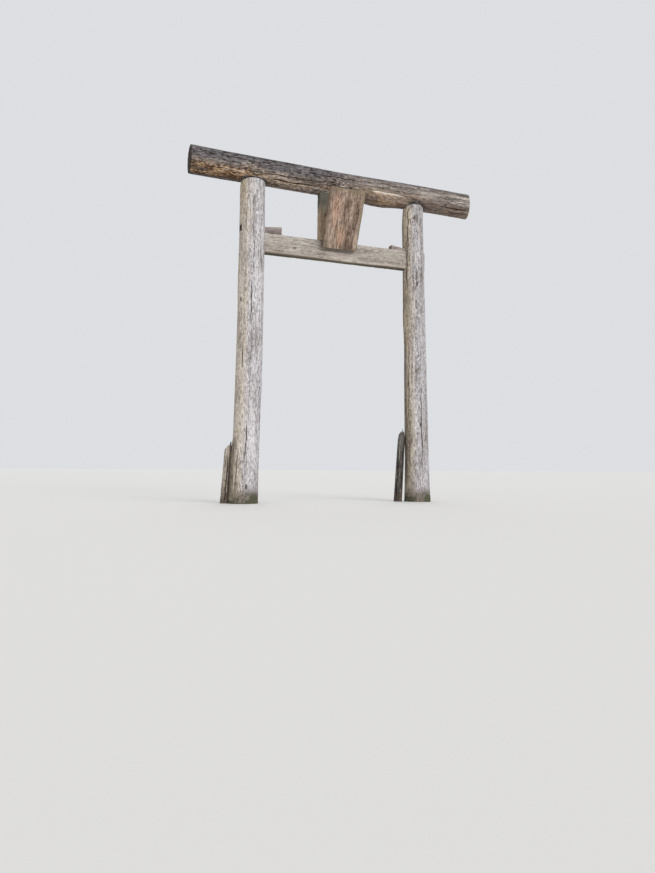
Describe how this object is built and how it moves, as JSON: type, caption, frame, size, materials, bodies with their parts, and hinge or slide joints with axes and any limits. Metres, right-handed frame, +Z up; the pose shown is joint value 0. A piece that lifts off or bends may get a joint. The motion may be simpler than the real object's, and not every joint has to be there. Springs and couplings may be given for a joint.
{
  "type": "torii gate",
  "caption": "Rustic log torii gate with leaning debarked posts, a round top log, a wedged tie beam and a tilted blank wooden plaque.",
  "frame": {"origin": "centre of the left post's foot face, at ground level", "axes": "+X along the gate from the left post to the right post, -Y towards the viewer, +Z up"},
  "size_m": [2.3833, 0.3891, 2.6404],
  "materials": {
    "silver_log": "bare debarked log, weathered silver grey",
    "brown_log": "weathered log, grey above and warm brown below",
    "sawn_timber": "sawn timber, weathered pale tan",
    "wedge_wood": "sawn wedge, weathered grey",
    "dark_board": "dark brown weathered board",
    "plaque_wood": "planed slab, pinkish tan with darker streaks",
    "rotten_wood": "rotten brown stake with a splintered top",
    "iron": "forged iron, rusted"
  },
  "bodies": {
    "root": {"left_post": "silver_log", "right_post": "silver_log", "top_log": "brown_log", "tie_beam": "sawn_timber", "left_wedge": "wedge_wood", "right_wedge": "wedge_wood", "centre_board": "dark_board", "plaque": "plaque_wood", "left_pin": "iron", "right_pin": "iron", "left_stay": "iron", "right_stay": "iron", "left_spike": "iron", "right_spike": "iron", "left_stake": "rotten_wood", "right_stake": "rotten_wood"}
  },
  "joints": []
}
